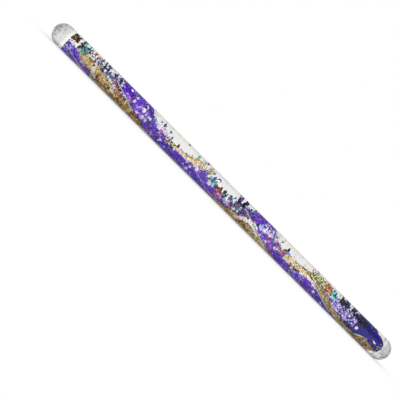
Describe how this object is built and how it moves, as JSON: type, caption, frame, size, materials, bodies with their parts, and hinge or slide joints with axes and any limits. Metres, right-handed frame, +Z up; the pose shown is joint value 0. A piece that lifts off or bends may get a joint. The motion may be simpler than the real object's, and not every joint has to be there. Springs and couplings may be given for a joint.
{
  "type": "glitter sensory wand",
  "caption": "Clear round-ended tube filled with oil, purple and gold glitter and foil confetti that spiral along a twisted clear divider when it is tipped.",
  "frame": {"origin": "middle of the tube's axis, which is the centre of the wand's box", "axes": "+X along the tube from the top plug to the bottom plug, +Z up with the wand lying on its side and its glitter settled low"},
  "size_m": [0.32, 0.016, 0.016],
  "materials": {
    "acrylic": "gloss",
    "clear_strip": "gloss",
    "silicone": "satin",
    "oil": "gloss",
    "purple_glitter": "gloss",
    "gold_glitter": "gloss",
    "silver_foil": "gloss",
    "teal_foil": "gloss",
    "green_foil": "gloss",
    "blue_foil": "gloss",
    "red_foil": "gloss",
    "orange_foil": "gloss",
    "magenta_foil": "gloss",
    "black_foil": "gloss"
  },
  "bodies": {
    "wand": {"tube": "acrylic", "top_plug": "acrylic", "bottom_plug": "acrylic", "top_seal": "silicone", "bottom_seal": "silicone", "divider": "clear_strip", "purple_oil": "oil", "gold_oil": "oil"},
    "purple_drifter": {"black_hexagon_5": "black_foil"},
    "purple_charge": {"purple_glitter": "purple_glitter", "silver_star_1": "silver_foil", "silver_star_2": "silver_foil", "silver_moon_1": "silver_foil", "green_star_2": "green_foil", "teal_star_2": "teal_foil", "black_hexagon_4": "black_foil", "blue_hexagon": "blue_foil", "silver_star_3": "silver_foil", "magenta_hexagon": "magenta_foil", "teal_star_3": "teal_foil", "black_hexagon_6": "black_foil", "red_hexagon": "red_foil", "silver_moon_2": "silver_foil"},
    "gold_drifter": {"black_hexagon_3": "black_foil"},
    "gold_charge": {"gold_glitter": "gold_glitter", "black_hexagon_1": "black_foil", "teal_hexagon_1": "teal_foil", "orange_hexagon": "orange_foil", "teal_star_1": "teal_foil", "blue_star": "blue_foil", "black_hexagon_2": "black_foil", "magenta_moon": "magenta_foil", "green_star_1": "green_foil", "teal_hexagon_2": "teal_foil", "black_moon_1": "black_foil", "green_moon": "green_foil", "silver_star_4": "silver_foil", "teal_hexagon_3": "teal_foil", "black_moon_2": "black_foil"}
  },
  "joints": [
    {"name": "purple_drift", "type": "slide", "parent": "wand", "child": "purple_drifter", "axis": [1, 0, 0], "range_m": [-0.006, 0.006], "deforming": ["purple_oil"]},
    {"name": "purple_spiral", "type": "hinge", "parent": "purple_drifter", "child": "purple_charge", "pos_m": [0, 0, 0], "axis": [1, 0, 0], "range_deg": [-18.1, 18.1]},
    {"name": "gold_drift", "type": "slide", "parent": "wand", "child": "gold_drifter", "axis": [1, 0, 0], "range_m": [-0.006, 0.006], "deforming": ["gold_oil"]},
    {"name": "gold_spiral", "type": "hinge", "parent": "gold_drifter", "child": "gold_charge", "pos_m": [0, 0, 0], "axis": [1, 0, 0], "range_deg": [-18.1, 18.1]}
  ],
  "couplings": [
    {"joint": "purple_spiral", "follows": "purple_drift", "rad_per_m": 52.325},
    {"joint": "gold_spiral", "follows": "gold_drift", "rad_per_m": 52.325}
  ]
}
